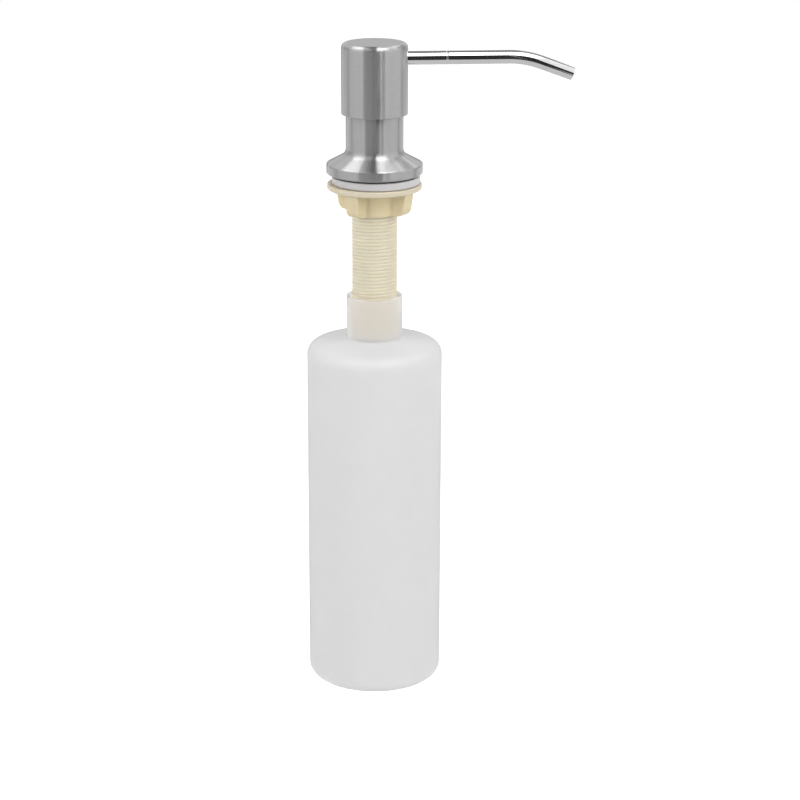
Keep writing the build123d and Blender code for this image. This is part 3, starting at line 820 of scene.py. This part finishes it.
# %% World
AMBIENT = 0.55
world = bpy.data.worlds.new("studio")
bpy.context.scene.world = world
world.use_nodes = True
ambient = world.node_tree.nodes["Background"]
ambient.inputs["Color"].default_value = (1, 1, 1, 1)
ambient.inputs["Strength"].default_value = AMBIENT
white = add_node(world, "ShaderNodeBackground", [("Color", (1, 1, 1, 1)), ("Strength", 1.0)])
chosen = add_node(
    world, "ShaderNodeMixShader",
    [(0, seen_rays(world)), (1, ambient.outputs[0]), (2, white.outputs[0])],
)
world.node_tree.links.new(chosen.outputs[0], world.node_tree.nodes["World Output"].inputs["Surface"])
print("world lights at", AMBIENT)

# %% [markdown]
# ## Lamps
# Four soft lamps stand left, right, above and behind, as a photographer's softboxes do. A small lamp would be
# simpler, but its shadows are hard. Reflections don't see the lamps, because the next step gives the steel something
# better to mirror.

# %% Lamps
def facing(azimuth, elevation, distance):
    """Place and turn of a flat thing that looks at the origin. Azimuth 0 is towards -Y, and turns to +X."""
    a, e = math.radians(azimuth), math.radians(elevation)
    flat = distance * math.cos(e)
    return (flat * math.sin(a), -flat * math.cos(a), distance * math.sin(e)), (math.pi / 2 - e, 0, a)


def add_lamp(name, azimuth, elevation, distance, size, power):
    """A soft lamp. Reflections don't see it, they see the cards."""
    lamp_data = bpy.data.lights.new(name, "AREA")
    lamp_data.shape = "RECTANGLE"
    lamp_data.size, lamp_data.size_y = size
    lamp_data.energy = power
    lamp = bpy.data.objects.new(name, lamp_data)
    lamp.location, lamp.rotation_euler = facing(azimuth, elevation, distance)
    lamp.visible_glossy = False
    bpy.context.scene.collection.objects.link(lamp)
    print(f"{name}: {power} W")


add_lamp("left_softbox", azimuth=-60, elevation=22, distance=1.2, size=(0.7, 1.0), power=8.2)
add_lamp("right_softbox", azimuth=55, elevation=22, distance=1.2, size=(0.6, 1.0), power=8.8)
add_lamp("top_softbox", azimuth=0, elevation=80, distance=1.3, size=(0.9, 0.9), power=4)
add_lamp("back_softbox", azimuth=180, elevation=30, distance=1.4, size=(1.0, 0.9), power=4)

# %% [markdown]
# ## Cards
# Steel is only as lively as what it mirrors, so cards stand around the head, bright ones as a studio's panels and
# dark ones as its unlit corners. A picture of a room could take their place, but its bands couldn't be moved one by
# one. The cards show in reflections alone and light nothing, so each band is placed without changing the light on
# the plastic.

# %% Cards
def add_card(name, corners, shade):
    """A flat card through corner points in metres. Only reflections see it, and it lights nothing."""
    mesh = bpy.data.meshes.new(name)
    mesh.from_pydata(corners, [], [range(len(corners))])
    card = bpy.data.objects.new(name, mesh)
    bpy.context.scene.collection.objects.link(card)
    card.visible_camera = card.visible_diffuse = card.visible_shadow = card.visible_transmission = False
    material, shader = new_finish(name, grey(0), 1.0, specular_ior_level=0.0)
    shader.inputs["Emission Color"].default_value = (1, 1, 1, 1)
    shader.inputs["Emission Strength"].default_value = shade
    mesh.materials.append(material)


def upright(x0, x1, z0, z1, y):
    """An upright rectangle that faces the object from the front or the back."""
    return [(x0, y, z0), (x1, y, z0), (x1, y, z1), (x0, y, z1)]


def level(z, *corners):
    """A level polygon."""
    return [(x, y, z) for x, y in corners]


CARDS = [
    # In front: the dark band down the middle of the head, and its softer left side.
    ("front_edge", upright(-0.75, -0.6, -0.2, 0.63, -0.75), 0.55),
    ("front_card", upright(-0.6, -0.15, -0.2, 0.63, -0.75), 0.24),
    ("middle_card", upright(-0.15, 0.08, -0.2, 0.63, -0.75), 0.16),
    # Nearer: the black line along the spout and its bent end.
    ("spout_flag", upright(0.03, 0.13, -0.2, 0.4, -0.45), 0.03),
    ("nose_flag", upright(0.108, 0.185, -0.02, 0.25, -0.3), 0.03),
    # Overhead: bright panels for the glints on the foot, dark cards between them and for the spout's upper line.
    ("right_panel", level(1.0, (0.06, -1.05), (0.6, -1.05), (0.6, 0.0), (0.12, 0.0), (0.07, -0.5)), 4.5),
    ("left_panel", level(1.0, (-0.5, -0.3), (-0.2, 0.45), (-0.45, 0.7), (-1.1, 0.35), (-1.1, -0.3)), 2.9),
    ("ceiling_card", level(1.01, (-0.15, 0.05), (0.34, 0.05), (0.34, 1.8), (-0.3, 1.8), (-0.15, 0.5)), 0.25),
    ("front_flag", level(1.0, (-0.22, -1.05), (0.05, -1.05), (0.05, 0.04), (-0.22, 0.04)), 0.35),
    ("nose_card", level(0.15, (0.087, 0.02), (0.156, 0.02), (0.156, 0.18), (0.087, 0.18)), 0.35),
    ("back_panel", level(1.0, (0.34, 0.05), (1.2, 0.05), (1.2, 1.8), (0.34, 1.8)), 1.8),
    # Below, beside and behind: a table and the walls of the room.
    ("table_card", level(-0.22, (-1.0, -1.2), (1.0, -1.2), (1.0, 0.3), (-1.0, 0.3)), 0.66),
    ("left_wall", [(-1.0, -0.75, -0.2), (-1.0, 0.2, -0.2), (-1.0, 0.2, 0.63), (-1.0, -0.75, 0.63)], 0.85),
    ("left_card", [(-1.0, 0.2, -0.2), (-0.7, 1.0, -0.2), (-0.7, 1.0, 0.5), (-1.0, 0.2, 0.5)], 0.5),
    ("right_card", [(1.0, 0.2, -0.2), (0.7, 1.0, -0.2), (0.7, 1.0, 0.5), (1.0, 0.2, 0.5)], 0.5),
    ("back_card", upright(-0.7, 0.7, -0.2, 0.9, 1.4), 0.8),
    ("back_flag", upright(-0.5, 0.5, -0.2, 0.12, 0.9), 0.35),
]
for name, corners, shade in CARDS:
    add_card(name, corners, shade)
print("cards:", [name for name, _, _ in CARDS])

# %% [markdown]
# ## View transform
# The dressed dispenser must be as large as the CAD model and no larger, and each piece printed its size as it was
# made. The Standard view transform shows colours as they are written.

# %% View transform
bpy.context.scene.view_settings.view_transform = "Standard"
